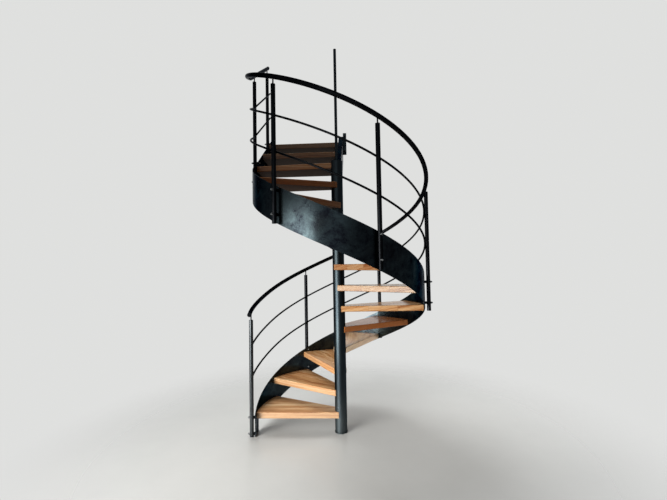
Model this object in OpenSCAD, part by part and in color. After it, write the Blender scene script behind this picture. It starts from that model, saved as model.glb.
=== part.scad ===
/* [Rise] */
// Height from the lower floor to the upper floor
floor_rise = 3200; // [2600:10:3800]
// Number of risers, the step onto the upper floor included
riser_count = 16; // [15:1:17]
// Number of wedge treads around the column, the rest are straight
winder_count = 12; // [11:1:12]

/* [Plan] */
// Outer radius of the round stringer
stair_r = 814; // [650:1:1100]
// Angle that each wedge tread turns
winder_angle = 30.72; // [28:0.01:32]
// Direction of the middle of the first tread
first_angle = 168.2; // [150:0.1:180]
// Depth from nosing to nosing on the straight treads
straight_going = 295; // [240:1:340]
// Distance of the first straight nosing in front of the column's centre
straight_start = 25; // [15:1:45]
// Skew of the first straight nosing at its outer end
straight_skew = 53; // [0:1:80]
// Length of the straight flight behind the column's centre
straight_l = 766; // [620:1:950]

/* [Column] */
// Diameter of the column
column_d = 114; // [89:1:140]
// Height of the column above the last wedge tread
column_top = 210; // [205:1:260]
// Thickness of the column's domed cap
cap_t = 14; // [8:1:30]
// Diameter of the ring at the column's foot
base_d = 122; // [120:1:260]
// Thickness of the ring at the column's foot
base_t = 10; // [6:1:25]
// Diameter of the bar that stands on the column
bar_d = 28; // [16:1:40]
// Height of the bar above the column's cap
bar_h = 1130; // [700:10:1400]

/* [Treads] */
// Thickness of a tread
tread_t = 55; // [30:1:70]
// Width of a wedge tread at the column
tread_narrow_w = 128; // [118:1:180]
// Chamfer along a tread's long edges
tread_chamfer = 4; // [1:0.5:8]
// How far a wedge tread's end reaches beside the column's centre
tread_wrap = 7; // [0:1:40]
// Lap of each tread over the one below, at the stringer
tread_lap = 45; // [10:1:90]
// Lap of each straight tread over the one below
straight_lap = 25; // [10:1:60]

/* [Stringer] */
// Thickness of the stringer plate
stringer_t = 8; // [5:1:12]
// Height of the stringer plate
stringer_h = 304; // [220:1:400]
// Height of the stringer's top above the tread at its middle
stringer_rise = 137; // [90:1:180]
// How far the stringer runs on in front of the first post's axis
stringer_past = 15; // [14:1:60]
// Angle that the stringer's leg turns, from its front end to where it leaves the floor
leg_angle = 10; // [6:0.5:14]
// Width of the box stringer beside the straight treads
box_w = 50; // [40:1:90]
// Height of the box stringer
box_h = 300; // [200:1:340]
// Width of the brackets that bolt the top to the upper floor
bracket_w = 40; // [30:1:100]
// Height of those brackets
bracket_h = 262; // [180:1:290]
// Thickness of those brackets
bracket_t = 10; // [6:1:15]
// Distance between a bracket's two bolt holes
bracket_bolt_gap = 180; // [100:1:220]
// Depth of the inner bracket's top below the upper floor
bracket_drop = 28; // [0:1:60]
// Diameter of a bracket's bolt holes
bracket_hole_d = 14; // [9:1:18]

/* [Posts] */
// Diameter of a post
post_d = 38; // [25:1:60]
// Length of the sleeves between the stringer and a post
sleeve_l = 22; // [5:1:40]
// Length of the first post's sleeves
first_sleeve_l = 12; // [5:1:40]
// Diameter of the sleeves
sleeve_d = 26; // [16:1:34]
// Height of the upper sleeve above the tread line
sleeve_high = 105; // [60:1:120]
// Height of the lower sleeve below the tread line
sleeve_low = 92; // [60:1:130]
// Height of a post's top above the tread line
post_top = 966; // [800:1:1050]
// Diameter of the pin between a post and the handrail
pin_d = 12; // [8:1:20]
// Direction of the first post, at the foot of the stair
first_post_angle = 188; // [185:0.1:190]
// Directions of the other posts around the round part
post_angles = [119.6, 59.1, -3.0, -65.2, -123.5];
// Places of the two posts along the straight part
straight_posts = [140, 712];

/* [Rails] */
// Diameter of the handrail
handrail_d = 40; // [30:1:50]
// Height of the handrail's centre above the tread line
handrail_rise = 1030; // [900:1:1150]
// Diameter of the two rails below the handrail
rail_d = 18; // [10:1:20]
// Height of the upper of those rails above the tread line
upper_rail_rise = 717; // [600:1:760]
// Height of the lower of those rails above the tread line
lower_rail_rise = 418; // [330:1:460]
// How much higher the first post's top and the lower ends of the rails are than the tread line gives
first_lift = 48; // [0:1:80]
// Direction around the column where the rails start to rise to that
lift_angle = 154; // [130:1:170]
// How far the handrail runs on past its end posts
handrail_past = 38; // [25:1:60]
// Thickness of the handrail's end caps
end_cap_t = 4; // [2:1:10]

/* [Fits] */
// Gap between pieces that seat on each other
seat_gap = 0.3; // [0.1:0.1:0.6]

/* [Hidden] */
$fn = 96;
riser_h = floor_rise / riser_count;
column_r = column_d / 2;
column_h = riser_h * winder_count + column_top;
stringer_in = stair_r - stringer_t;
// The plate turns in flats, whose middles lie nearer the column than their ends
flat_sag = 0.5;
flat_angle = 2 * acos(1 - flat_sag / stringer_in);
tread_r = stringer_in - flat_sag - seat_gap;
half_angle = winder_angle / 2 + tread_lap / 2 / stringer_in * 180 / PI;
post_r = stair_r + sleeve_l + post_d / 2;
first_post_r = stair_r + first_sleeve_l + post_d / 2;
rail_r = post_r - post_d / 2 - rail_d / 2 - seat_gap;
start_angle = first_post_angle + stringer_past / stair_r * 180 / PI;
leg_end = start_angle - leg_angle;
end_angle = -180;
straight_pitch = riser_h / straight_going;
box_x = -3;
plate_end = straight_l - bracket_t;
rail_sides = 12;
handrail_sides = 20;

steel = [0.10, 0.11, 0.12];
bright_steel = [0.45, 0.46, 0.47];
wood = [0.72, 0.50, 0.31];

// Height of the tread line at a direction around the column, and at a place along the straight part
function line_at(a) = riser_h * (1 + (first_angle - a) / winder_angle);
function line_along(y) = line_at(end_angle) + straight_pitch * y;

// A station is a place on the plan, the direction out of it, and the height of the tread line there
function round_station(a) = [[0, 0], [cos(a), sin(a)], line_at(a)];
function straight_station(y) = [[0, y], [-1, 0], line_along(y)];
function stations(from, to) =
    let (n = max(1, ceil((from - to) / flat_angle)))
    [for (i = [0 : n]) round_station(from + (to - from) * i / n)];
function at_station(s, r, z) =
    [s[0][0] + s[1][0] * r, s[0][1] + s[1][1] * r, s[2] + z];

// Joins rings of points, all with the same number of points, into one solid
module skin_rings(rings) {
    n = len(rings);
    k = len(rings[0]);
    polyhedron(
        points = [for (ring = rings) each ring],
        faces = concat(
            [[for (j = [0 : k - 1]) j]],
            [for (i = [0 : n - 2], j = [0 : k - 1])
                let (a = i * k + j, b = i * k + (j + 1) % k)
                each [[a, a + k, b], [b, a + k, b + k]]],
            [[for (j = [k - 1 : -1 : 0]) (n - 1) * k + j]]));
}

// Outline of the plate at a station, down to its lower edge but no lower than a given height
function plate_ring(s, lowest) =
    let (top = stringer_rise, low = max(stringer_rise - stringer_h, lowest - s[2]))
    [at_station(s, stringer_in, low), at_station(s, stringer_in, top),
     at_station(s, stair_r, top), at_station(s, stair_r, low)];

// Outline of a round bar at a station, stretched so that it is round across its slope
function bar_ring(s, r, z, d, sides, pitch) =
    let (stretch = sqrt(1 + pitch * pitch))
    [for (j = [0 : sides - 1])
        let (t = 360 * j / sides)
        at_station(s, r - cos(t) * d / 2, z + sin(t) * d / 2 * stretch)];

// The share of the first post's lift that the rails have at a direction, and how fast it grows there
lift_turn = first_post_angle - lift_angle;
post_1_top = line_at(first_post_angle) + post_top + first_lift;
function lift_share(a) = pow(max(0, a - lift_angle) / lift_turn, 2);
function lift_rate(a) = 2 * max(0, a - lift_angle) / pow(lift_turn, 2);
function lift_at(a) = first_lift * lift_share(a);

function round_pitch(r, a = end_angle) =
    (riser_h / winder_angle - first_lift * lift_rate(a)) / (PI / 180 * r);

// Rings of a bar that turns with the stair. Its radius becomes end_r at the first post
function bar_rings(from, to, r, end_r, z, d, sides) =
    let (n = max(1, ceil((from - to) / flat_angle)))
    [for (i = [0 : n])
        let (a = from + (to - from) * i / n, ring_r = r + (end_r - r) * lift_share(a))
        bar_ring(round_station(a), ring_r, z + lift_at(a), d, sides, round_pitch(ring_r, a))];

module round_plate(from, to, lowest) {
    color(steel) skin_rings([for (s = stations(from, to)) plate_ring(s, lowest)]);
}

module round_bar(from, to, r, end_r, z, d, sides) {
    color(steel) skin_rings(bar_rings(from, to, r, end_r, z, d, sides));
}

// A round bar that turns with the stair and runs on beside the straight treads
module long_bar(from, past, r, z, d, sides) {
    color(steel) skin_rings(concat(
        bar_rings(from, end_angle, r, r, z, d, sides),
        [for (y = [straight_posts[0] / 2, straight_posts[1] + past])
            bar_ring(straight_station(y), r, z, d, sides, straight_pitch)]));
}

module well_outline() {
    circle(tread_r, $fn = 240);
    translate([-tread_r, 0]) square([tread_r, straight_l]);
}

// Cuts a chamfer along the upper and the lower arris of a tread's long edge. Seen from above, the
// tread lies on the left of the way between the two places
module chamfers(from, to) {
    run = to - from;
    over = 4 * tread_chamfer;
    translate(concat(from, 0)) rotate(atan2(run[1], run[0])) for (arris = [[tread_t, 45], [0, 135]])
        translate([0, 0, arris[0]]) rotate([arris[1], 0, 0])
            translate([-over, -over, -tread_chamfer / sqrt(2)])
                cube([norm(run) + 2 * over, 2 * over, 2 * over]);
}

// A wedge tread, hollowed at its narrow end to clasp the column
module winder(i) {
    reach = 1.2;
    turn = first_angle - winder_angle * (i - 1);
    inner = [tread_wrap, tread_narrow_w / 2];
    outer = tread_r * [cos(half_angle), sin(half_angle)];
    far = inner + (outer - inner) * reach;
    color(wood) translate([0, 0, riser_h * i - tread_t]) difference() {
        linear_extrude(tread_t) difference() {
            intersection() {
                rotate(turn) polygon([[inner[0], -inner[1]], [far[0], -far[1]], far, inner]);
                if (i < winder_count) circle(tread_r, $fn = 240);
                else well_outline();
            }
            circle(column_r + seat_gap);
        }
        rotate(turn) {
            chamfers([inner[0], -inner[1]], [far[0], -far[1]]);
            chamfers(far, inner);
        }
    }
}

// The nosing of a straight tread, counted on from the wedge treads
function nosing_y(k) = -straight_start + straight_going * k;

module straight_tread(k) {
    last = riser_count - 2 - winder_count;
    skew = k == 0 ? straight_skew : 0;
    rear = k == last ? plate_end - seat_gap : nosing_y(k + 1) + straight_lap;
    side = box_x - seat_gap;
    corners = [[-stair_r, nosing_y(k) + skew], [side, nosing_y(k)], [side, rear], [-stair_r, rear]];
    color(wood) translate([0, 0, riser_h * (winder_count + 1 + k) - tread_t]) difference() {
        linear_extrude(tread_t) difference() {
            intersection() {
                polygon(corners);
                well_outline();
            }
            circle(column_r + seat_gap);
        }
        chamfers(corners[0], corners[1]);
        chamfers(corners[2], corners[3]);
    }
}

module tread_01() { winder(1); }
module tread_02() { winder(2); }
module tread_03() { winder(3); }
module tread_04() { winder(4); }
module tread_05() { winder(5); }
module tread_06() { winder(6); }
module tread_07() { winder(7); }
module tread_08() { winder(8); }
module tread_09() { winder(9); }
module tread_10() { winder(10); }
module tread_11() { winder(11); }
module tread_12() { winder(12); }
module tread_13() { straight_tread(0); }
module tread_14() { straight_tread(1); }
module tread_15() { straight_tread(2); }

module base_ring() {
    color(steel) cylinder(d = base_d, h = base_t);
}

module column() {
    color(steel) translate([0, 0, base_t])
        cylinder(d = column_d, h = column_h - base_t);
}

module column_cap() {
    edge = cap_t / 2;
    color(steel) translate([0, 0, column_h]) rotate_extrude()
        polygon([[0, 0], [column_r, 0], [column_r, edge], [column_r - edge, cap_t], [0, cap_t]]);
}

module newel_bar() {
    color(steel) translate([0, 0, column_h + cap_t]) cylinder(d = bar_d, h = bar_h);
}

// The plate's leg goes down to the floor, and beyond it the plate ends level with the first tread's
// underside until its own lower edge has climbed that high
module stringer_lower() {
    round_plate(start_angle, leg_end, 0);
    round_plate(leg_end, post_angles[1], riser_h - tread_t);
}
module stringer_middle() { round_plate(post_angles[1], post_angles[3], 0); }
module stringer_upper() { round_plate(post_angles[3], end_angle, 0); }

// A plate on edge that follows the slope of the straight flight, from its front to its back
module sloped_plate(x, t, front, back, low, high) {
    translate([x, 0, 0]) rotate([90, 0, 90]) linear_extrude(t)
        polygon([[front, low + straight_pitch * front], [back, low + straight_pitch * back],
                 [back, high + straight_pitch * back], [front, high + straight_pitch * front]]);
}

module stringer_straight() {
    top = line_along(0) + stringer_rise;
    color(steel) sloped_plate(-stair_r, stringer_t, 0, plate_end, top - stringer_h, top);
}

module box_stringer() {
    top = riser_h * (winder_count + 1) + straight_pitch * straight_start;
    color(steel) difference() {
        sloped_plate(box_x, box_w, column_r / 2, plate_end, top - box_h, top);
        cylinder(r = column_r + seat_gap, h = column_h + cap_t + seat_gap);
    }
}

module bracket(x, z) {
    color(steel) difference() {
        translate([x, plate_end, z]) cube([bracket_w, bracket_t, bracket_h]);
        for (side = [-1, 1])
            translate([x + bracket_w / 2, plate_end - 1, z + bracket_h / 2 + side * bracket_bolt_gap / 2])
                rotate([-90, 0, 0]) cylinder(d = bracket_hole_d, h = bracket_t + 2);
    }
}

module top_bracket_inner() { bracket(box_x + box_w, floor_rise - bracket_drop - bracket_h); }
module top_bracket_outer() {
    bracket(-stair_r, line_along(plate_end) + stringer_rise - stringer_h / 2 - bracket_h / 2);
}

// The posts stand outside the stringer, the first on the floor and the others down to its lower edge
module post(line, top) {
    low = max(line + stringer_rise - stringer_h, 0);
    color(steel) translate([0, 0, low]) cylinder(d = post_d, h = top - low);
}
module round_post(a, r = post_r) {
    rotate(a) translate([r, 0, 0]) post(line_at(a), line_at(a) + post_top + lift_at(a));
}
module straight_post(y) {
    translate([-post_r, y, 0]) post(line_along(y), line_along(y) + post_top);
}

module post_1() { round_post(first_post_angle, first_post_r); }
module post_2() { round_post(post_angles[0]); }
module post_3() { round_post(post_angles[1]); }
module post_4() { round_post(post_angles[2]); }
module post_5() { round_post(post_angles[3]); }
module post_6() { round_post(post_angles[4]); }
module post_7() { straight_post(straight_posts[0]); }
module post_8() { straight_post(straight_posts[1]); }

// A pin whose top is cut along the slope of the handrail above it. The handrail's middle may lie a
// little farther out than the pin
module pin(pitch, turn, aside = 0) {
    lean = asin(aside / (handrail_d / 2));
    drop = (handrail_d / 2 + seat_gap) * cos(lean) * sqrt(1 + pitch * pitch);
    gap = handrail_rise - post_top - drop;
    difference() {
        cylinder(d = pin_d, h = gap + pin_d);
        translate([0, 0, gap]) rotate([0, lean, 0]) rotate(turn) rotate([atan(pitch), 0, 0])
            translate([-2 * pin_d, -2 * pin_d, 0]) cube(4 * pin_d);
    }
}

module post_pins() {
    color(steel) {
        rotate(first_post_angle) translate([first_post_r, 0, post_1_top])
            pin(round_pitch(post_r, first_post_angle), 180, post_r - first_post_r);
        for (a = post_angles)
            rotate(a) translate([post_r, 0, line_at(a) + post_top]) pin(round_pitch(post_r), 180);
        for (y = straight_posts)
            translate([-post_r, y, line_along(y) + post_top]) pin(straight_pitch, 0);
    }
}

// Two sleeves for one post at a distance from the column, each hollowed at its end to fit against it
module sleeve_pair(line, r) {
    difference() {
        for (z = [line + sleeve_high, max(line - sleeve_low, sleeve_d)])
            translate([stair_r, 0, z]) rotate([0, 90, 0]) cylinder(d = sleeve_d, h = r - stair_r);
        translate([r, 0, 0]) cylinder(d = post_d + 2 * seat_gap, h = line + post_top);
    }
}

module post_sleeves() {
    color(bright_steel) {
        rotate(first_post_angle) sleeve_pair(line_at(first_post_angle), first_post_r);
        for (a = post_angles)
            rotate(a) sleeve_pair(line_at(a), post_r);
        for (y = straight_posts)
            translate([0, y, 0]) rotate(180) sleeve_pair(line_along(y), post_r);
    }
}

handrail_start = first_post_angle + handrail_past / post_r * 180 / PI;
// The thin rails end against the first post
rail_start = first_post_angle - (post_d / 2 + seat_gap) / first_post_r * 180 / PI;
middle_post = post_angles[2];

module handrail_lower() {
    round_bar(handrail_start, middle_post, post_r, post_r, handrail_rise, handrail_d, handrail_sides);
}
module handrail_upper() {
    long_bar(middle_post, handrail_past, post_r, handrail_rise, handrail_d, handrail_sides);
}
module handrail_caps() {
    cap_angle = end_cap_t / post_r * 180 / PI;
    cap_d = handrail_d + 2;
    end_y = straight_posts[1] + handrail_past;
    round_bar(handrail_start + cap_angle, handrail_start, post_r, post_r, handrail_rise, cap_d,
        handrail_sides);
    color(steel) skin_rings([for (y = [end_y, end_y + end_cap_t])
        bar_ring(straight_station(y), post_r, handrail_rise, cap_d, handrail_sides, straight_pitch)]);
}
module upper_rail_lower() {
    round_bar(rail_start, middle_post, rail_r, first_post_r, upper_rail_rise, rail_d, rail_sides);
}
module upper_rail_upper() {
    long_bar(middle_post, post_d / 2, rail_r, upper_rail_rise, rail_d, rail_sides);
}
module lower_rail_lower() {
    round_bar(rail_start, middle_post, rail_r, first_post_r, lower_rail_rise, rail_d, rail_sides);
}
module lower_rail_upper() {
    long_bar(middle_post, post_d / 2, rail_r, lower_rail_rise, rail_d, rail_sides);
}

base_ring();
column();
column_cap();
newel_bar();
tread_01();
tread_02();
tread_03();
tread_04();
tread_05();
tread_06();
tread_07();
tread_08();
tread_09();
tread_10();
tread_11();
tread_12();
tread_13();
tread_14();
tread_15();
stringer_lower();
stringer_middle();
stringer_upper();
stringer_straight();
box_stringer();
top_bracket_inner();
top_bracket_outer();
post_1();
post_2();
post_3();
post_4();
post_5();
post_6();
post_7();
post_8();
post_pins();
post_sleeves();
handrail_lower();
handrail_upper();
handrail_caps();
upper_rail_lower();
upper_rail_upper();
lower_rail_lower();
lower_rail_upper();
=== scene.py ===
import math

import bmesh
import bpy
from mathutils import Matrix, Vector


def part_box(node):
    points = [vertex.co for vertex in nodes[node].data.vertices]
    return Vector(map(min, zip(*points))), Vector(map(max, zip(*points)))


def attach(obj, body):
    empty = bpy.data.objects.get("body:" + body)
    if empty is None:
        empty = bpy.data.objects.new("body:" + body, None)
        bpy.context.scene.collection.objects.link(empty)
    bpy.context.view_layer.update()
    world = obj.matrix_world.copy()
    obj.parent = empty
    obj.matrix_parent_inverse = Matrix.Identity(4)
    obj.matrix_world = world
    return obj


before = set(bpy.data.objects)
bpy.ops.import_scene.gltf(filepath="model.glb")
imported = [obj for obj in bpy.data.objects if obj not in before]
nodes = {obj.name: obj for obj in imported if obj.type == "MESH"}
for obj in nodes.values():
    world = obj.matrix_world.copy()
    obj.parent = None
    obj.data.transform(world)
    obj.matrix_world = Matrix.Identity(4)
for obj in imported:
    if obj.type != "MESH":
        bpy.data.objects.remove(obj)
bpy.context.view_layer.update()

# Driving sizes of the stair, in metres and degrees, as the part's source has them
RISER_H = 0.200
WINDERS = 12
WINDER_ANGLE = 30.72
FIRST_ANGLE = 168.2
END_ANGLE = -180.0
STRAIGHT_START = 0.025
STRAIGHT_GOING = 0.295
TREAD_NARROW_W = 0.128
TREAD_WRAP = 0.007
STAIR_R = 0.814
STRINGER_T = 0.008
COLUMN_R = 0.057
BASE_T = 0.010
BAR_R = 0.014
POST_D = 0.038
POST_TOP = 0.966
FIRST_POST_ANGLE = 188.0
FIRST_LIFT = 0.048
POST_ANGLES = (119.6, 59.1, -3.0, -65.2, -123.5)
STRAIGHT_POSTS = (0.140, 0.712)
SLEEVE_L = 0.022
FIRST_SLEEVE_L = 0.012
SLEEVE_D = 0.026
SLEEVE_HIGH = 0.105
SLEEVE_LOW = 0.092
PIN_D = 0.012
BRACKET_BOLT_GAP = 0.180

# Sizes worked out from those
STRINGER_IN = STAIR_R - STRINGER_T
POST_R = STAIR_R + SLEEVE_L + POST_D / 2
FIRST_POST_R = STAIR_R + FIRST_SLEEVE_L + POST_D / 2


def line_at(angle):
    """Height of the tread line at a direction around the column."""
    return RISER_H * (1 + (FIRST_ANGLE - angle) / WINDER_ANGLE)


def line_along(y):
    """Height of the tread line at a place along the straight flight."""
    return line_at(END_ANGLE) + RISER_H / STRAIGHT_GOING * y


def turned(angle, place):
    """A place in a frame whose X axis points that way round the column, in the part's frame."""
    return Matrix.Rotation(math.radians(angle), 4, "Z") @ Vector(place)


def outward(origin, direction):
    """A frame at origin whose Z axis points in direction."""
    turn = Vector(direction).to_track_quat("Z", "Y").to_matrix().to_4x4()
    return Matrix.Translation(origin) @ turn


# Camera, at the photograph's viewing angle, fitted in the photograph's pixels
PHOTO_W = 667
PHOTO_H = 500
FOCAL_PX = 369.09
CENTRE_PX = (334.50, 248.66)
CAMERA_AT = (0.1638, -3.6071, 1.5948)
CAMERA_YAW = -3.1618
CAMERA_UP = 2.526
CAMERA_ROLL = -1.014
SENSOR_W = 36.0
CLIP_NEAR = 0.05
CLIP_FAR = 200.0


def make_camera():
    data = bpy.data.cameras.new("camera")
    data.sensor_width = SENSOR_W
    data.lens = SENSOR_W * FOCAL_PX / PHOTO_W
    data.shift_x = (PHOTO_W / 2 - CENTRE_PX[0]) / PHOTO_W
    data.shift_y = (CENTRE_PX[1] - PHOTO_H / 2) / PHOTO_W
    data.clip_start = CLIP_NEAR
    data.clip_end = CLIP_FAR
    camera = bpy.data.objects.new("camera", data)
    yaw, up, roll = (math.radians(angle) for angle in (CAMERA_YAW, CAMERA_UP, CAMERA_ROLL))
    forward = Vector((math.sin(yaw) * math.cos(up), math.cos(yaw) * math.cos(up), math.sin(up)))
    level = Vector((math.cos(yaw), -math.sin(yaw), 0))
    above = level.cross(forward)
    right = math.cos(roll) * level + math.sin(roll) * above
    top = -math.sin(roll) * level + math.cos(roll) * above
    turn = Matrix((right, top, -forward)).transposed().to_4x4()
    camera.matrix_world = Matrix.Translation(CAMERA_AT) @ turn
    bpy.context.scene.collection.objects.link(camera)
    bpy.context.scene.camera = camera


class Shader:
    """A material's node tree, with short calls for the nodes that are used here."""

    def __init__(self, name):
        self.material = bpy.data.materials.new(name)
        self.start_tree(self.material, "ShaderNodeOutputMaterial")

    def start_tree(self, owner, output):
        owner.use_nodes = True
        self.tree = owner.node_tree
        self.tree.nodes.clear()
        self.output = self.tree.nodes.new(output)

    def node(self, kind, inputs=None, **settings):
        made = self.tree.nodes.new("ShaderNode" + kind)
        for key, value in settings.items():
            setattr(made, key, value)
        for key, value in (inputs or {}).items():
            self.feed(made.inputs[key], value)
        return made

    def feed(self, socket, value):
        if isinstance(value, bpy.types.NodeSocket):
            self.tree.links.new(value, socket)
        else:
            socket.default_value = value

    def math(self, operation, a, b=0.0):
        return self.node("Math", {0: a, 1: b}, operation=operation).outputs[0]

    def plus(self, a, b):
        return self.math("ADD", a, b)

    def minus(self, a, b):
        return self.math("SUBTRACT", a, b)

    def times(self, a, b):
        return self.math("MULTIPLY", a, b)

    def position(self, turn=0.0, move=(0, 0, 0), scale=(1, 1, 1)):
        """The place in the part's frame, turned back about Z, then stretched and moved."""
        place = self.node("NewGeometry").outputs["Position"]
        back = (0, 0, -math.radians(turn))
        turned_back = self.node("Mapping", {"Vector": place, "Rotation": back}).outputs[0]
        inputs = {"Vector": turned_back, "Location": move, "Scale": scale}
        return self.node("Mapping", inputs).outputs[0]

    def split(self, vector):
        return tuple(self.node("SeparateXYZ", {0: vector}).outputs)

    def join(self, x, y, z):
        return self.node("CombineXYZ", {0: x, 1: y, 2: z}).outputs[0]

    def upward(self):
        """1 where the surface is level and faces up, 0 where it is upright, -1 where it faces down."""
        return self.split(self.node("NewGeometry").outputs["Normal"])[2]

    def noise(self, vector, detail, roughness, scale=1.0, distortion=0.0):
        inputs = {"Vector": vector, "Scale": scale, "Detail": detail,
                  "Roughness": roughness, "Distortion": distortion}
        return self.node("TexNoise", inputs).outputs["Fac"]

    def ramp(self, factor, stops):
        made = self.node("ValToRGB", {0: factor})
        band = made.color_ramp
        while len(band.elements) < len(stops):
            band.elements.new(0.5)
        for element, (place, colour) in zip(band.elements, stops):
            element.position = place
            element.color = (*colour, 1)
        return made.outputs[0]

    def spread(self, value, low, high, to_low=0.0, to_high=1.0):
        """Maps a value's range on to another, with its ends held."""
        inputs = {0: value, 1: low, 2: high, 3: to_low, 4: to_high}
        return self.node("MapRange", inputs).outputs[0]

    def vary(self, noise, low, high):
        """low to high, over the range that a noise mostly fills."""
        return self.spread(noise, 0.3, 0.7, low, high)

    def smooth_step(self, value, low, high):
        """0 up to low and 1 from high, with a soft change between them."""
        inputs = {0: value, 1: low, 2: high}
        return self.node("MapRange", inputs, interpolation_type="SMOOTHSTEP").outputs[0]

    def blend(self, factor, a, b):
        """a where factor is 0 and b where it is 1. Each may be a colour or a node's output."""
        made = self.node("Mix", data_type="RGBA")
        self.feed(made.inputs[0], factor)
        for socket, value in ((made.inputs[6], a), (made.inputs[7], b)):
            self.feed(socket, (*value, 1) if isinstance(value, tuple) else value)
        return made.outputs[2]

    def toned(self, colour, tone):
        """The colour made lighter or darker, tone times as bright."""
        return self.node("HueSaturation", {"Value": tone, "Color": colour}).outputs[0]

    def bump(self, height, distance, strength):
        inputs = {"Height": height, "Distance": distance, "Strength": strength}
        return self.node("Bump", inputs).outputs[0]

    def surface(self, **inputs):
        """Ends the material with a surface of these inputs, whose names have _ for a space."""
        named = {key.replace("_", " "): value for key, value in inputs.items()}
        self.show(self.node("BsdfPrincipled", named))
        return self.material

    def show(self, last):
        self.tree.links.new(last.outputs[0], self.output.inputs[0])


# Wood: each tread is glued up from flat-sawn boards that run along its front edge
BOARD_W = 0.118
GRAIN_TURN = 12.6
# Share of a board's width, off its middle, where the dark line of the seam begins and is full
SEAM_FROM = 0.492
SEAM_TO = 0.498
# How far a board's noise is shifted at the most, and how far apart two treads' picks of that lie
BOARD_STEP = 9.7
TREAD_STEP = 7.31
# How steeply the growth layers rise across the boards, and how far they sway
LAYER_SLOPE = 0.30
LAYER_SWAY = 0.060
# Cells of each pattern's noise to the metre, along the boards and across them
SWAY_CELLS = (0.9, 2.2)
RING_CELLS = (0.9, 58.0)
FIBRE_CELLS = (3.5, 230.0)
PORE_CELLS = (28.0, 700.0)
PORE_FROM = 0.60
PORE_TO = 0.72
# What the rings count for in the figure, beside the fibres, and its colours from late to early wood
RING_SHARE = 0.76
FIGURE = ((0.36, (0.225, 0.070, 0.020)), (0.44, (0.480, 0.210, 0.070)),
          (0.53, (0.690, 0.405, 0.185)), (0.64, (0.820, 0.585, 0.345)))
# Colours that are laid over the figure, and how much of each at the most
DARK_BOARD = (0.560, 0.235, 0.085)
DARK_BOARD_SHARE = 0.35
# Red of the wood, partly its own colour and partly painted warm bounce light
RED_WOOD_AND_BOUNCE = (0.480, 0.150, 0.040)
# Painted sheen: a pale cream that stands in for the window's reflection on some treads
PAINTED_SHEEN = (0.860, 0.700, 0.500)
PORE = (0.240, 0.095, 0.032)
PORE_SHARE = 0.35
SEAM = (0.150, 0.060, 0.022)
SEAM_SHARE = 0.55
# Painted shade: the near-black that the undersides are darkened to
UNDERSIDE_SHADE = (0.026, 0.015, 0.010)
UNDERSIDE_SHADE_SHARE = 0.95
RAW_ROUGH = 0.95
# Share of the painted sheen that the tops have, and how far up a surface faces where it begins to count
# as a top and where it does in full. Undersides, which get painted shade, are told from edges by the
# same two
TOP_SHEEN_SHARE = 0.25
TOP_FROM = 0.5
TOP_TO = 0.9
# Roughness where the oil is polished and where it is dull, and what wear counts for beside fibres
WOOD_ROUGH = (0.17, 0.28)
WEAR_SHARE = 0.90
WOOD_IOR = 1.45
# Relief: how far the fibres stand up and the pores lie down, where the seams lie down by 1
FIBRE_RISE = 0.5
PORE_DEPTH = 0.1
WOOD_RELIEF = 0.0003
WOOD_BUMP = 0.28

# Each tread's wood from the bottom up: its tone, then how red or, below nought, how much painted sheen
# it has.
# Both are partly painted light and shade: treads are set paler, darker or redder for the light that
# falls on them
TREAD_TONES_AND_PAINTED_LIGHT = ((1.08, -0.38), (1.06, -0.16), (1.14, 0.08), (1.14, -0.50), (0.62, 0.90),
               (0.82, 0.04), (0.58, -0.10), (0.60, 0.34), (0.84, 0.16), (0.88, 0.24),
               (0.92, 0.45), (1.20, 0.60), (0.64, 0.12), (0.58, -0.10), (0.52, -0.30))


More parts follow.
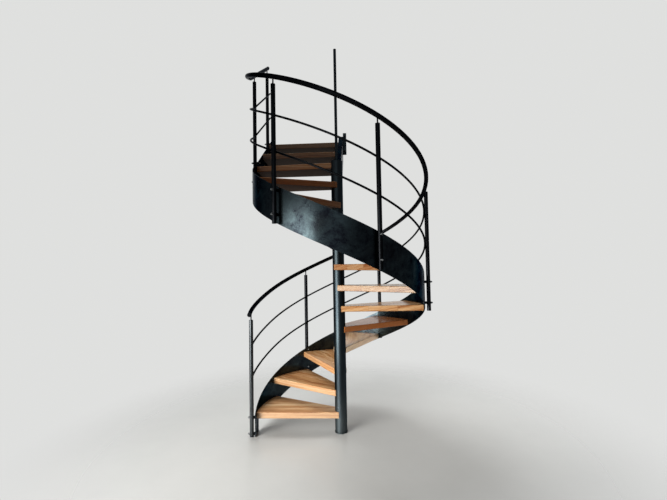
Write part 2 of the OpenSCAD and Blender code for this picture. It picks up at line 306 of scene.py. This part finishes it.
def wood_material(name, seed, turn, front, tone, warmth_and_sheen):
    """The boards run at the angle turn, and the tread's front edge lies at front across them."""
    wood = Shader(name)
    along, across, up = wood.split(wood.position(turn))
    upward = wood.upward()
    in_boards = wood.math("DIVIDE", wood.minus(front, across), BOARD_W)
    board = wood.plus(wood.math("FLOOR", in_boards), seed * TREAD_STEP)
    pick = wood.node("TexWhiteNoise", {"W": board}, noise_dimensions="1D").outputs[0]
    shift = wood.times(pick, BOARD_STEP)

    def cells(x, y, per_metre):
        """A place in a noise that is drawn out along the boards and starts anew with each board."""
        return wood.join(wood.times(x, per_metre[0]), wood.times(y, per_metre[1]), shift)

    # The growth layers lie nearly flat, so they run along the edges and spread out on the top
    sway = wood.noise(cells(along, across, SWAY_CELLS), scale=2.6, detail=3.0, roughness=0.55)
    flat = wood.plus(wood.times(across, LAYER_SLOPE), up)
    layer = wood.plus(flat, wood.times(wood.minus(sway, 0.5), LAYER_SWAY))
    rings = wood.noise(cells(along, layer, RING_CELLS), detail=4.0, roughness=0.60, distortion=0.25)
    through = wood.plus(across, up)
    fibres = wood.noise(cells(along, through, FIBRE_CELLS), detail=3.0, roughness=0.6)
    pores = wood.noise(cells(along, through, PORE_CELLS), detail=1.0, roughness=0.5)
    pores = wood.spread(pores, PORE_FROM, PORE_TO)
    figure = wood.plus(wood.times(rings, RING_SHARE), wood.times(fibres, 1 - RING_SHARE))
    colour = wood.ramp(figure, FIGURE)
    colour = wood.blend(wood.times(pick, DARK_BOARD_SHARE), colour, DARK_BOARD)
    # Above nought the wood is reddened, partly for its own colour and partly as painted warm bounce
    # light; below nought it is paled with painted sheen, less on the tops
    if warmth_and_sheen > 0:
        colour = wood.blend(warmth_and_sheen, colour, RED_WOOD_AND_BOUNCE)
    else:
        painted_sheen = wood.spread(upward, TOP_FROM, TOP_TO, -warmth_and_sheen, -warmth_and_sheen * TOP_SHEEN_SHARE)
        colour = wood.blend(painted_sheen, colour, PAINTED_SHEEN)
    colour = wood.blend(wood.times(pores, PORE_SHARE), colour, PORE)
    off_middle = wood.math("ABSOLUTE", wood.minus(wood.math("FRACT", in_boards), 0.5))
    seam = wood.spread(off_middle, SEAM_FROM, SEAM_TO)
    colour = wood.blend(wood.times(seam, SEAM_SHARE), colour, SEAM)
    wear_and_sheen = wood.noise(wood.position(), scale=5.5, detail=4.0, roughness=0.6)
    wear_and_sheen = wood.plus(wood.times(wear_and_sheen, WEAR_SHARE), wood.times(fibres, 1 - WEAR_SHARE))
    rough = wood.vary(wear_and_sheen, *WOOD_ROUGH)
    # The undersides are left raw and rough, and darkened with painted shade
    raw_shaded_underside = wood.spread(upward, -TOP_TO, -TOP_FROM, 1.0, 0.0)
    rough = wood.math("MAXIMUM", rough, wood.times(raw_shaded_underside, RAW_ROUGH))
    colour = wood.blend(wood.times(raw_shaded_underside, UNDERSIDE_SHADE_SHARE), colour, UNDERSIDE_SHADE)
    hollow = wood.plus(wood.times(pores, PORE_DEPTH), seam)
    height = wood.minus(wood.times(fibres, FIBRE_RISE), hollow)
    # tone scales the colour: partly the wood's own tone, partly painted light and shade
    return wood.surface(Base_Color=wood.toned(colour, tone), Roughness=rough, IOR=WOOD_IOR,
                        Normal=wood.bump(height, WOOD_RELIEF, WOOD_BUMP))


def tread_materials():
    """Each tread's wood, by the tread's name."""
    turn = math.radians(GRAIN_TURN)
    front = TREAD_NARROW_W / 2 * math.cos(turn) - TREAD_WRAP * math.sin(turn)
    materials = {}
    for i, (tone, warmth_and_sheen) in enumerate(TREAD_TONES_AND_PAINTED_LIGHT):
        name = f"tread_{i + 1:02d}"
        if i < WINDERS:
            lie = (FIRST_ANGLE - WINDER_ANGLE * i + GRAIN_TURN, front)
        else:
            lie = (180.0, STRAIGHT_START - STRAIGHT_GOING * (i - WINDERS))
        materials[name] = wood_material("wood_" + name, i, *lie, tone, warmth_and_sheen)
    return materials


# Blackened steel: where the patina turns from dark to pale, and where it begins to gloss
PATINA_FROM = 0.38
PATINA_TO = 0.64
GLOSS_FROM = 0.36
# What the mottle counts for in the small patches, beside the specks
MOTTLE_SHARE = 0.72
# Faint brown patches, and how much of them at the most
BROWN_MOVE = (3.1, 1.7, 0.4)
BROWN_FROM = 0.52
BROWN_TO = 0.75
BROWN_SHARE = 0.55
# Fine scratches: the way they run, and the cells of their noise to the metre
SCRATCH_TURN = 24.0
SCRATCH_CELLS = (16, 900, 16)
SCRATCH_FROM = 0.70
SCRATCH_TO = 0.80
SCRATCH = (0.10, 0.11, 0.12)
SCRATCH_SHARE = 0.10
# Scuffs with a painted sheen: the share of their height up to which they are full, and how strong they
# are between patches
SCUFF_AND_SHEEN_FULL = 0.3
SCUFF_AND_SHEEN_LEAST = 0.7
SCUFF_AND_SHEEN_PATCHES = (0.35, 0.65)
# Their colour, paler to paint a brighter reflection at the foot, how much of it at the most, and how
# much rougher they are
SCUFF_AND_SHEEN = (0.150, 0.175, 0.180)
SCUFF_AND_SHEEN_SHARE = 0.45
SCUFF_AND_SHEEN_ROUGH = 0.20
# What the specks count for in the relief, beside the mottle
SPECK_RISE = 0.3
STEEL_RELIEF = 0.0006
# Tint of steel that is seen along its face, which keeps its edges dark
EDGE_TINT = (0.30, 0.31, 0.33, 1)

# Each steel's colours, the roughness of its glossy and dull patches, the share of small patches,
# how the patches are drawn out, how strong the relief is, and how high up shoes have scuffed it and a
# painted sheen brightens it
STEELS = {
    "steel_stringer": {
        "dark": (0.012, 0.013, 0.020), "pale": (0.069, 0.098, 0.106), "brown": (0.016, 0.014, 0.014),
        "rough": (0.20, 0.31), "fine": 0.40, "streak": (1, 1, 1), "relief": 0.12},
    "steel_column": {
        "dark": (0.030, 0.040, 0.048), "pale": (0.048, 0.063, 0.069), "brown": (0.036, 0.038, 0.040),
        "rough": (0.32, 0.37), "fine": 0.20, "streak": (1, 1, 0.35), "relief": 0.02, "scuff_and_sheen_height": 0.42},
    "steel_bars": {
        "dark": (0.011, 0.012, 0.014), "pale": (0.021, 0.023, 0.026), "brown": (0.015, 0.014, 0.014),
        "rough": (0.28, 0.32), "fine": 0.20, "streak": (1.2, 1.2, 0.4), "relief": 0.015},
    # The first post's steel is a paler copy of steel_bars: painted light, as that post stands nearest
    # the window light
    "steel_first_post_painted_light": {
        "dark": (0.050, 0.056, 0.060), "pale": (0.090, 0.098, 0.102), "brown": (0.045, 0.045, 0.046),
        "rough": (0.27, 0.33), "fine": 0.20, "streak": (1.2, 1.2, 0.4), "relief": 0.015},
}
# The steel of the nodes whose names start so. The rest of the frame is of steel_bars
STEEL_OF = {
    "stringer": "steel_stringer", "box_stringer": "steel_stringer", "top_bracket": "steel_stringer",
    "column": "steel_column", "base_ring": "steel_column", "newel_bar": "steel_column",
    "post_1": "steel_first_post_painted_light",
}


def steel_material(name, dark, pale, brown, rough, fine, streak, relief, scuff_and_sheen_height=0.0):
    """Blackened and waxed steel: cloudy patina, faint brown patches, mill scale and fine scratches."""
    steel = Shader(name)
    place = steel.position(scale=streak)
    clouds = steel.noise(place, scale=6.5, detail=6.0, roughness=0.62, distortion=0.6)
    mottle = steel.noise(place, scale=30.0, detail=5.0, roughness=0.66, distortion=0.9)
    specks = steel.noise(place, scale=130.0, detail=3.0, roughness=0.6)
    small = steel.plus(steel.times(mottle, MOTTLE_SHARE * fine),
                       steel.times(specks, (1 - MOTTLE_SHARE) * fine))
    patina = steel.plus(steel.times(clouds, 1 - fine), small)
    colour = steel.blend(steel.spread(patina, PATINA_FROM, PATINA_TO), dark, pale)
    patches = steel.noise(steel.position(move=BROWN_MOVE), scale=3.3, detail=5.0, roughness=0.6)
    patches = steel.spread(patches, BROWN_FROM, BROWN_TO)
    colour = steel.blend(steel.times(patches, BROWN_SHARE), colour, brown)
    scratch_at = steel.position(turn=SCRATCH_TURN, scale=SCRATCH_CELLS)
    scratch = steel.noise(scratch_at, detail=1.0, roughness=0.4)
    scratch = steel.spread(scratch, SCRATCH_FROM, SCRATCH_TO)
    colour = steel.blend(steel.times(scratch, SCRATCH_SHARE), colour, SCRATCH)
    glossy, dull = rough
    gloss = steel.spread(patina, GLOSS_FROM, PATINA_TO, dull, glossy)
    if scuff_and_sheen_height:
        # Below that height the steel is paler and duller: partly worn by shoes, partly a painted sheen
        # that brightens the reflection at the foot
        up = steel.split(steel.position())[2]
        scuff_and_sheen_foot = steel.spread(up, SCUFF_AND_SHEEN_FULL * scuff_and_sheen_height, scuff_and_sheen_height, 1.0, 0.0)
        wear_and_sheen = steel.times(scuff_and_sheen_foot, steel.spread(mottle, *SCUFF_AND_SHEEN_PATCHES, SCUFF_AND_SHEEN_LEAST, 1.0))
        colour = steel.blend(steel.times(wear_and_sheen, SCUFF_AND_SHEEN_SHARE), colour, SCUFF_AND_SHEEN)
        gloss = steel.plus(gloss, steel.times(wear_and_sheen, SCUFF_AND_SHEEN_ROUGH))
    height = steel.plus(mottle, steel.times(specks, SPECK_RISE))
    return steel.surface(Base_Color=colour, Metallic=1.0, Roughness=gloss, Specular_Tint=EDGE_TINT,
                         Normal=steel.bump(height, STEEL_RELIEF, relief))


# Turned steel of the nuts and heads of the posts' bolts, clean and where oil has stained it
TURNED_STEEL = (0.30, 0.31, 0.315)
STAINED_STEEL = (0.165, 0.1705, 0.17325)
STAIN_FROM = 0.35
STAIN_TO = 0.70
TURNED_ROUGH = (0.26, 0.42)
TURNED_RELIEF = 0.0003
TURNED_BUMP = 0.3


def turned_steel_material():
    """Turned steel with a fine grit and a light oil stain."""
    steel = Shader("steel_turned")
    stain = steel.noise(steel.position(), scale=60.0, detail=4.0, roughness=0.6)
    tint = steel.blend(steel.spread(stain, STAIN_FROM, STAIN_TO), TURNED_STEEL, STAINED_STEEL)
    grit = steel.noise(steel.position(scale=(1, 1, 7)), scale=700.0, detail=2.0, roughness=0.5)
    rough = steel.vary(grit, *TURNED_ROUGH)
    return steel.surface(Base_Color=tint, Metallic=1.0, Roughness=rough,
                         Normal=steel.bump(grit, TURNED_RELIEF, TURNED_BUMP))


# Faces that meet at less than this angle, in degrees, are shaded as one. Points this near are joined
SHARP_ANGLE = 32.0
MERGE_GAP = 1e-5


def smooth_shading():
    """A modifier's nodes that join a node's faces and shade its round sides smooth."""
    group = bpy.data.node_groups.new("smooth_round_sides", "GeometryNodeTree")
    for way in ("INPUT", "OUTPUT"):
        group.interface.new_socket("Geometry", in_out=way, socket_type="NodeSocketGeometry")
    new, link = group.nodes.new, group.links.new
    start = new("NodeGroupInput")
    end = new("NodeGroupOutput")
    merge = new("GeometryNodeMergeByDistance")
    merge.inputs["Distance"].default_value = MERGE_GAP
    faces = new("GeometryNodeSetShadeSmooth")
    edges = new("GeometryNodeSetShadeSmooth")
    edges.domain = "EDGE"
    angle = new("GeometryNodeInputMeshEdgeAngle")
    round_edge = new("FunctionNodeCompare")
    round_edge.operation = "LESS_THAN"
    round_edge.inputs[1].default_value = math.radians(SHARP_ANGLE)
    link(start.outputs[0], merge.inputs[0])
    link(merge.outputs[0], faces.inputs[0])
    link(faces.outputs[0], edges.inputs[0])
    link(angle.outputs[0], round_edge.inputs[0])
    link(round_edge.outputs[0], edges.inputs["Shade Smooth"])
    link(edges.outputs[0], end.inputs[0])
    return group


def finish_cad_nodes(woods, steels):
    """Gives each node of the model its material and smooth round sides."""
    smooth = smooth_shading()
    for name, piece in nodes.items():
        kinds = [kind for start, kind in STEEL_OF.items() if name.startswith(start)]
        steel = steels[kinds[0] if kinds else "steel_bars"]
        piece.data.materials.clear()
        piece.data.materials.append(woods.get(name, steel))
        if piece.data.attributes.get("custom_normal"):
            piece.data.attributes.remove(piece.data.attributes["custom_normal"])
        modifier = piece.modifiers.new("smooth_round_sides", "NODES")
        modifier.node_group = smooth


def add_piece(name, mesh, material):
    piece = bpy.data.objects.new(name, bpy.data.meshes.new(name))
    mesh.to_mesh(piece.data)
    mesh.free()
    piece.data.materials.append(material)
    bpy.context.scene.collection.objects.link(piece)
    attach(piece, "root")


def around(count):
    """The angles of that many places spaced evenly around a circle."""
    return [2 * math.pi * k / count for k in range(count)]


def join_rings(mesh, low, high):
    """Faces between two rings that have the same number of points."""
    for k in range(len(low)):
        after = (k + 1) % len(low)
        face = mesh.faces.new((low[k], low[after], high[after], high[k]))
        face.smooth = True


def lathe(mesh, outline, sides, place, flats=None):
    """Turns an outline of (radius, height) about Z and sets it in place.

    flats cuts it down to a hexagon of that width across its flats.
    """
    rings = []
    for radius, height in outline:
        ring = []
        for angle in around(sides):
            reach = radius
            if flats:
                off = (angle + math.pi / 6) % (math.pi / 3) - math.pi / 6
                reach = min(radius, flats / 2 / math.cos(off))
            point = Vector((reach * math.cos(angle), reach * math.sin(angle), height))
            ring.append(mesh.verts.new(place @ point))
        rings.append(ring)
    for low, high in zip(rings, rings[1:]):
        join_rings(mesh, low, high)
    mesh.faces.new(rings[0][::-1])
    mesh.faces.new(rings[-1])


def across_corners(flats):
    """A hexagon's radius at its corners, from its width across the flats."""
    return flats / 2 / math.cos(math.pi / 6)


def post_places():
    """Each post's origin on the plan, the way out, how far off it stands, its tread line and its top."""
    first_line = line_at(FIRST_POST_ANGLE)
    out = turned(FIRST_POST_ANGLE, (1, 0, 0))
    yield Vector((0, 0, 0)), out, FIRST_POST_R, first_line, first_line + POST_TOP + FIRST_LIFT
    for angle in POST_ANGLES:
        line = line_at(angle)
        yield Vector((0, 0, 0)), turned(angle, (1, 0, 0)), POST_R, line, line + POST_TOP
    for y in STRAIGHT_POSTS:
        line = line_along(y)
        yield Vector((0, y, 0)), Vector((-1, 0, 0)), POST_R, line, line + POST_TOP


def sleeve_heights(line):
    """Heights of a post's two sleeves. The first post's lower one rests just above the floor."""
    return line + SLEEVE_HIGH, max(line - SLEEVE_LOW, SLEEVE_D)


# Dome nut on a washer outside each post, sunk a little so that it beds on the tube's round side
WASHER = ((0.0099, 0), (0.0105, 0.0005), (0.0105, 0.0016), (0.0100, 0.0020))
WASHER_T = 0.002
WASHER_SUNK = 0.0008
NUT_FLATS = 0.017
NUT_H = 0.008
NUT_CHAMFER = 0.001
DOME_R = 0.0075
DOME_COLLAR = 0.002
DOME_ANGLES = (0, 15, 30, 45, 60, 75, 86)
# Button head inside the stringer: its rim, then its crown and socket as shares of radius and height
HEAD_R = 0.0085
HEAD_H = 0.0045
HEAD_RIM = 0.0008
HEAD_CROWN = ((0.92, 0.45), (0.70, 0.82), (0.42, 1.00), (0.30, 1.00), (0.28, 0.35))
HEAD_SUNK = 0.0002
ROUND_SIDES = 36
HEXAGON_SIDES = 48


def dome_nut(mesh, place):
    lathe(mesh, WASHER, ROUND_SIDES, place)
    corners = across_corners(NUT_FLATS)
    top = WASHER_T + NUT_H
    nut = ((NUT_FLATS / 2, WASHER_T), (corners, WASHER_T + NUT_CHAMFER),
           (corners, top - NUT_CHAMFER), (NUT_FLATS / 2, top))
    lathe(mesh, nut, HEXAGON_SIDES, place, flats=NUT_FLATS)
    dome = [(DOME_R, top)]
    for angle in map(math.radians, DOME_ANGLES):
        dome.append((DOME_R * math.cos(angle), top + DOME_COLLAR + DOME_R * math.sin(angle)))
    lathe(mesh, dome, ROUND_SIDES, place)


def button_head(mesh, place):
    crown = [(HEAD_R * radius, HEAD_H * height) for radius, height in HEAD_CROWN]
    lathe(mesh, [(HEAD_R, 0), (HEAD_R, HEAD_RIM), *crown], ROUND_SIDES, place)


def add_post_bolts(steel):
    nuts = bmesh.new()
    heads = bmesh.new()
    for origin, out, reach, line, _ in post_places():
        outside = origin + out * (reach + POST_D / 2 - WASHER_SUNK)
        inside = origin + out * (STRINGER_IN + HEAD_SUNK)
        for z in sleeve_heights(line):
            dome_nut(nuts, outward((outside.x, outside.y, z), out))
            button_head(heads, outward((inside.x, inside.y, z), -out))
    add_piece("post_bolt_nuts", nuts, steel)
    add_piece("post_bolt_heads", heads, steel)


# Anchors in the two top brackets: a hexagon head on a washer that is sunk 0.2 mm into the plate
ANCHOR_WASHER = ((0.0125, -0.0002), (0.0130, 0.0005), (0.0130, 0.0020), (0.0125, 0.0025))
ANCHOR_WASHER_T = 0.0025
ANCHOR_WASHER_SIDES = 40
ANCHOR_FLATS = 0.019
ANCHOR_H = 0.0075
ANCHOR_CHAMFER = 0.001


def add_anchor_heads(steel):
    mesh = bmesh.new()
    corners = across_corners(ANCHOR_FLATS)
    top = ANCHOR_WASHER_T + ANCHOR_H
    head = ((corners, ANCHOR_WASHER_T), (corners, top - ANCHOR_CHAMFER), (ANCHOR_FLATS / 2, top))
    for name in ("top_bracket_inner", "top_bracket_outer"):
        low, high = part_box(name)
        middle = (low + high) / 2
        for side in (-1, 1):
            z = middle.z + side * BRACKET_BOLT_GAP / 2
            place = outward((middle.x, low.y, z), (0, -1, 0))
            lathe(mesh, ANCHOR_WASHER, ANCHOR_WASHER_SIDES, place)
            lathe(mesh, head, HEXAGON_SIDES, place, flats=ANCHOR_FLATS)
    add_piece("bracket_anchor_heads", mesh, steel)


# Weld beads: how far the bead's middle lies off the round piece, half its thickness, and its steps
BASE_WELD = (0.0010, 0.0026, 120)
CAP_WELD = (0.0010, 0.0020, 48)
PIN_WELD = (0.0005, 0.0017, 24)
BEAD_SIDES = 6
# The bead's ripples: how deep they are, how fast they come, and how much the seed shifts them
RIPPLES = ((0.16, 3.1, 1), (0.10, 7.7, 2))


def ripple(step, seed):
    """How many times thicker the bead is at a step."""
    return 1 + sum(deep * math.sin(fast * step + shift * seed) for deep, fast, shift in RIPPLES)


def bead(mesh, centre, piece_r, weld, seed):
    """A weld bead around a round piece: a ring of small overlapping ripples."""
    off, half, steps = weld
    rings = []
    for side in around(BEAD_SIDES):
        ring = []
        for step, angle in enumerate(around(steps)):
            thick = half * ripple(step, seed)
            reach = piece_r + off + thick * math.cos(side)
            rise = thick * math.sin(side)
            point = Vector((reach * math.cos(angle), reach * math.sin(angle), rise))
            ring.append(mesh.verts.new(Vector(centre) + point))
        rings.append(ring)
    for ring, after in zip(rings, rings[1:] + rings[:1]):
        join_rings(mesh, ring, after)


def add_welds(steel):
    mesh = bmesh.new()
    bead(mesh, (0, 0, BASE_T), COLUMN_R, BASE_WELD, 0)
    _, cap_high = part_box("column_cap")
    bead(mesh, (0, 0, cap_high.z), BAR_R, CAP_WELD, 3)
    for k, (origin, out, reach, _, top) in enumerate(post_places()):
        place = origin + out * reach
        bead(mesh, (place.x, place.y, top), PIN_D / 2, PIN_WELD, k)
    add_piece("weld_beads", mesh, steel)


# Stage: a pale floor that fades into a pale background
PALE = (0.74, 0.745, 0.735)
FLOOR = (0.62, 0.62, 0.60, 1)
FLOOR_R = 8.0
FLOOR_SIDES = 96
FLOOR_ROUGH = 0.26
FLOOR_TONES = (0.97, 1.03)
FADE_FROM = 1.0
FADE_TO = 3.0


def add_floor():
    mesh = bmesh.new()
    bmesh.ops.create_circle(mesh, cap_ends=True, radius=FLOOR_R, segments=FLOOR_SIDES)
    floor = bpy.data.objects.new("floor", bpy.data.meshes.new("floor"))
    mesh.to_mesh(floor.data)
    mesh.free()
    shader = Shader("pale_floor")
    place = shader.position()
    x, y = shader.split(place)[:2]
    away = shader.math("SQRT", shader.plus(shader.times(x, x), shader.times(y, y)))
    far = shader.smooth_step(away, FADE_FROM, FADE_TO)
    clouds = shader.noise(place, scale=1.7, detail=5.0, roughness=0.6)
    colour = shader.toned(FLOOR, shader.vary(clouds, *FLOOR_TONES))
    near = shader.node("BsdfPrincipled", {"Base Color": colour, "Roughness": FLOOR_ROUGH})
    clear = shader.node("BsdfTransparent")
    shader.show(shader.node("MixShader", {0: far, 1: near.outputs[0], 2: clear.outputs[0]}))
    floor.data.materials.append(shader.material)
    bpy.context.scene.collection.objects.link(floor)


# Parts of the world: the angle around the stair, how far off it each one begins, and where it is full
DIM_SIDE = (316.0, 80.0, 54.0)
PALE_BACK = (84.0, 66.0, 36.0)
GLOW_FRONT = (263.0, 26.0, 6.0)
# What lights the stair: pale, with a dim side, less from below the level, and weaker than white
DIM = (0.08, 0.082, 0.086)
AMBIENT = 0.44
OVERHEAD = 0.90
BELOW = 0.12
BELOW_FADE = 0.05
# What the steel and the wood mirror: a dark surround with a pale back and a soft glow in front
SURROUND = (0.115, 0.120, 0.128)
GLOW = (0.52, 0.56, 0.58)
BLACK = (0, 0, 0)


class WorldShader(Shader):
    """The same short calls for the world's node tree."""

    def __init__(self, name):
        self.world = bpy.data.worlds.new(name)
        self.start_tree(self.world, "ShaderNodeOutputWorld")
        self.direction = self.split(self.node("TexCoord").outputs["Generated"])

    def toward(self, angle, begins, full):
        """1 within full degrees of that way round, 0 beyond begins degrees, on the level."""
        x, y = self.direction[:2]
        turn = math.radians(angle)
        along = self.plus(self.times(x, math.cos(turn)), self.times(y, math.sin(turn)))
        return self.smooth_step(along, math.cos(math.radians(begins)), math.cos(math.radians(full)))


def set_world():
    shader = WorldShader("studio")
    bpy.context.scene.world = shader.world
    up = shader.direction[2]
    light = shader.blend(shader.toward(*DIM_SIDE), PALE, DIM)
    light = shader.blend(shader.spread(up, 0, 1, AMBIENT, AMBIENT * OVERHEAD), BLACK, light)
    light = shader.blend(shader.spread(up, -BELOW_FADE, 0.0, BELOW, 1.0), BLACK, light)
    mirrored = shader.blend(shader.toward(*PALE_BACK), SURROUND, PALE)
    mirrored = shader.blend(shader.toward(*GLOW_FRONT), mirrored, GLOW)
    rays = shader.node("LightPath").outputs
    in_mirror = shader.math("MAXIMUM", rays["Is Glossy Ray"], rays["Is Transmission Ray"])
    colour = shader.blend(in_mirror, light, mirrored)
    colour = shader.blend(rays["Is Camera Ray"], colour, PALE)
    shader.show(shader.node("Background", {0: colour}))


# Lamps: the angle around the stair, the distance and height, the height that each aims at, its size,
# power, colour and spread, and the share of its light that polished faces mirror
LAMPS = (
    {"name": "window_light", "angle": 226.0, "distance": 3.4, "height": 1.06, "aim": 0.10,
     "size": (2.5, 2.6), "power": 25.0, "colour": (1.0, 0.98, 0.95), "spread": 70.0, "mirrored": 1.0},
    {"name": "low_window_light", "angle": 230.0, "distance": 4.4, "height": 0.44, "aim": 0.20,
     "size": (3.8, 1.1), "power": 62.0, "colour": (1.0, 0.99, 0.97), "spread": 72.0, "mirrored": 0.55},
    {"name": "wall_light", "angle": 18.0, "distance": 3.0, "height": 0.9, "aim": 0.4,
     "size": (2.2, 1.6), "power": 13.0, "colour": (1.0, 0.99, 0.98), "spread": 90.0, "mirrored": 0.0},
    {"name": "sky_light", "angle": 122.0, "distance": 3.6, "height": 8.0, "aim": 1.0,
     "size": (4.0, 4.0), "power": 350.0, "colour": (0.97, 0.99, 1.0), "spread": 180.0, "mirrored": 0.0},
)


def add_lamp(name, angle, distance, height, aim, size, power, colour, spread, mirrored):
    """A soft lamp, made as two where only a share of its light is mirrored."""
    for glossy, share in ((True, mirrored), (False, 1 - mirrored)):
        if share == 0:
            continue
        data = bpy.data.lights.new(name, "AREA")
        data.shape = "RECTANGLE"
        data.size, data.size_y = size
        data.energy = power * share
        data.color = colour
        data.spread = math.radians(spread)
        lamp = bpy.data.objects.new(name, data)
        place = turned(angle, (distance, 0, height))
        lamp.matrix_world = outward(place, place - Vector((0, 0, aim)))
        lamp.visible_camera = False
        lamp.visible_glossy = glossy
        bpy.context.scene.collection.objects.link(lamp)


make_camera()
frame_steels = {name: steel_material(name, **look) for name, look in STEELS.items()}
turned_steel = turned_steel_material()
finish_cad_nodes(tread_materials(), frame_steels)
add_post_bolts(turned_steel)
add_anchor_heads(frame_steels["steel_bars"])
add_welds(frame_steels["steel_bars"])
add_floor()
set_world()
for lamp_row in LAMPS:
    add_lamp(**lamp_row)
bpy.context.scene.view_settings.view_transform = "Standard"
